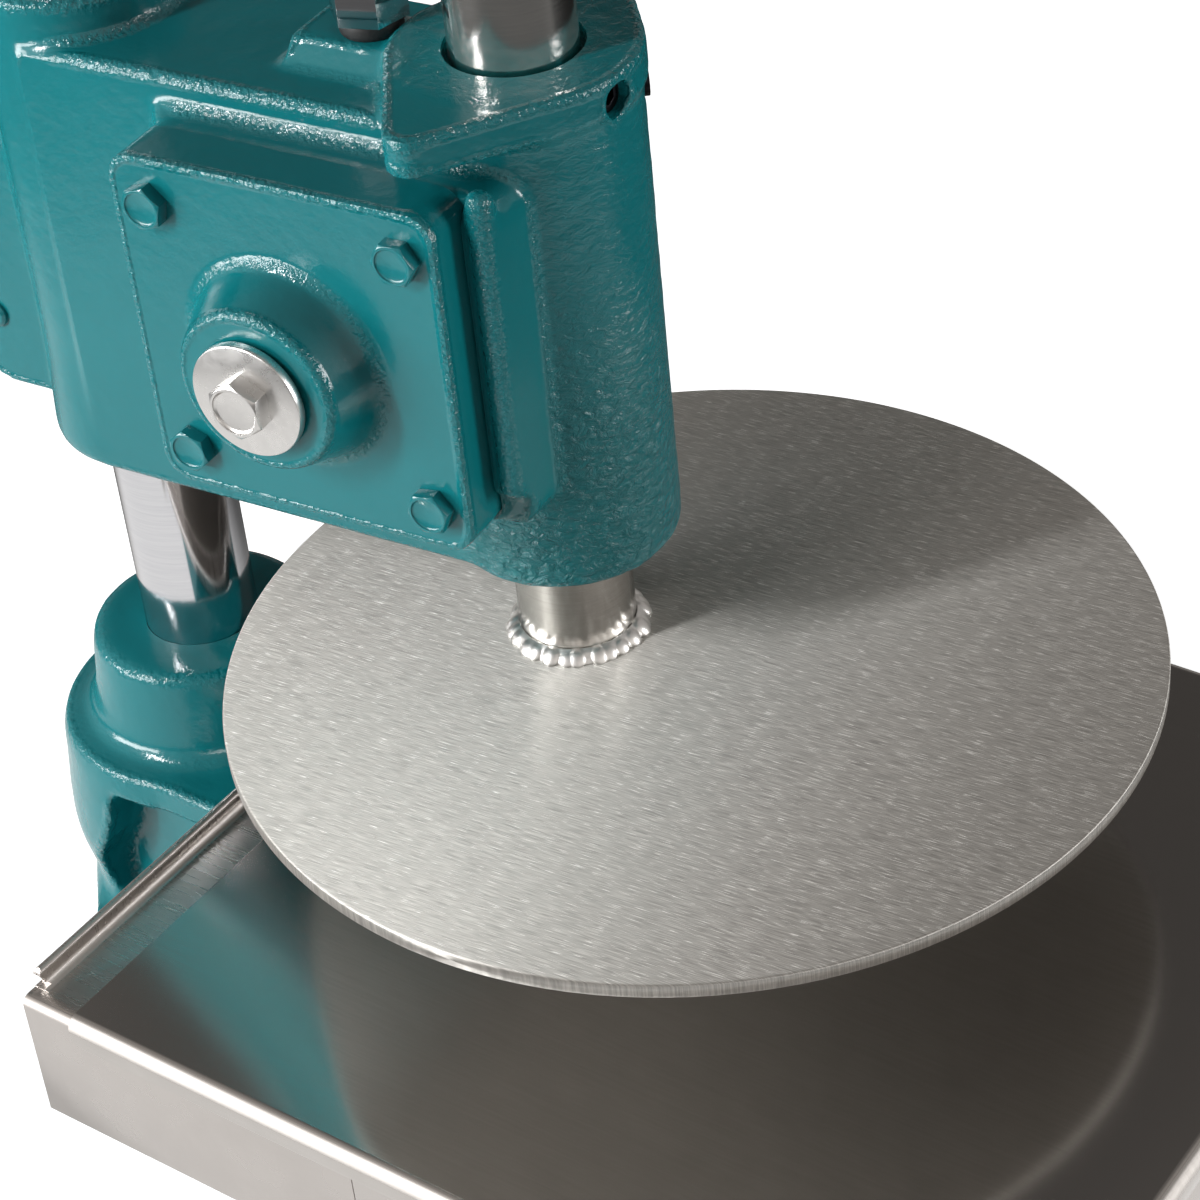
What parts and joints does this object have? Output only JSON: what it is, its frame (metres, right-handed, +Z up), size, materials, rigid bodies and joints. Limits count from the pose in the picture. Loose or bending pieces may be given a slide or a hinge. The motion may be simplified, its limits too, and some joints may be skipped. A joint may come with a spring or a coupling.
{
  "type": "dough press",
  "caption": "Hand dough press: a lever, pinion and toothed ram drive a round plate down over a bent steel work tray on a cast base.",
  "frame": {"origin": "on the table, midway between the back of the pedestal and the front of the tray, on the tray's centre line", "axes": "+X to the front, +Y to the lever's side, +Z up"},
  "size_m": [0.376, 0.266, 0.562],
  "materials": {
    "enamel": "glossy enamel over rough castings",
    "stainless": "brushed",
    "sheet": "polished sheet",
    "chrome": "polished",
    "steel": "ground",
    "zinc": "zinc plated",
    "black_steel": "black oxide",
    "rubber": "moulded",
    "plastic": "moulded phenolic",
    "bronze": "sintered bronze",
    "gear_steel": "machined",
    "weld": "weld bead"
  },
  "bodies": {
    "base": {"base_casting": "enamel", "rubber_feet": "rubber", "foot_screws": "zinc", "tray": "sheet", "tray_screws": "zinc", "work_sheet": "sheet", "column_set_screws": "black_steel"},
    "column": {"column": "chrome"},
    "head": {"head_casting": "enamel", "gear_cover": "enamel", "cover_bolts": "enamel", "cover_bush": "bronze", "housing_bush": "bronze", "clamp_bolts": "enamel", "clamp_nuts": "zinc", "guide_set_screws": "black_steel", "oil_plug": "chrome", "plug_seal": "rubber"},
    "pinion": {"pinion_shaft": "steel", "drive_pinion": "gear_steel", "pinion_key": "zinc", "end_washer": "zinc", "end_bolt": "zinc", "lever_hub": "enamel", "hub_pin": "zinc", "lever_bar": "chrome", "lever_knob": "plastic"},
    "ram": {"ram": "steel", "press_plate": "stainless", "weld_bead": "weld"}
  },
  "joints": [
    {"name": "head_swing", "type": "hinge", "parent": "base", "child": "column", "pos_m": [-0.13855, 0, 0], "axis": [0, 0, 1], "range_deg": [-90, 90]},
    {"name": "head_height", "type": "slide", "parent": "column", "child": "head", "axis": [0, 0, 1], "range_m": [0, 0.06]},
    {"name": "ram_slide", "type": "slide", "parent": "head", "child": "ram", "axis": [0, 0, 1], "range_m": [-0.0425, 0.024]},
    {"name": "lever_turn", "type": "hinge", "parent": "head", "child": "pinion", "pos_m": [-0.05187, 0.00859, 0.243], "axis": [-0.0986, 0.9951, 0], "range_deg": [-50.1, 88.7]}
  ],
  "couplings": [
    {"joint": "lever_turn", "follows": "ram_slide", "rad_per_m": -36.364}
  ]
}
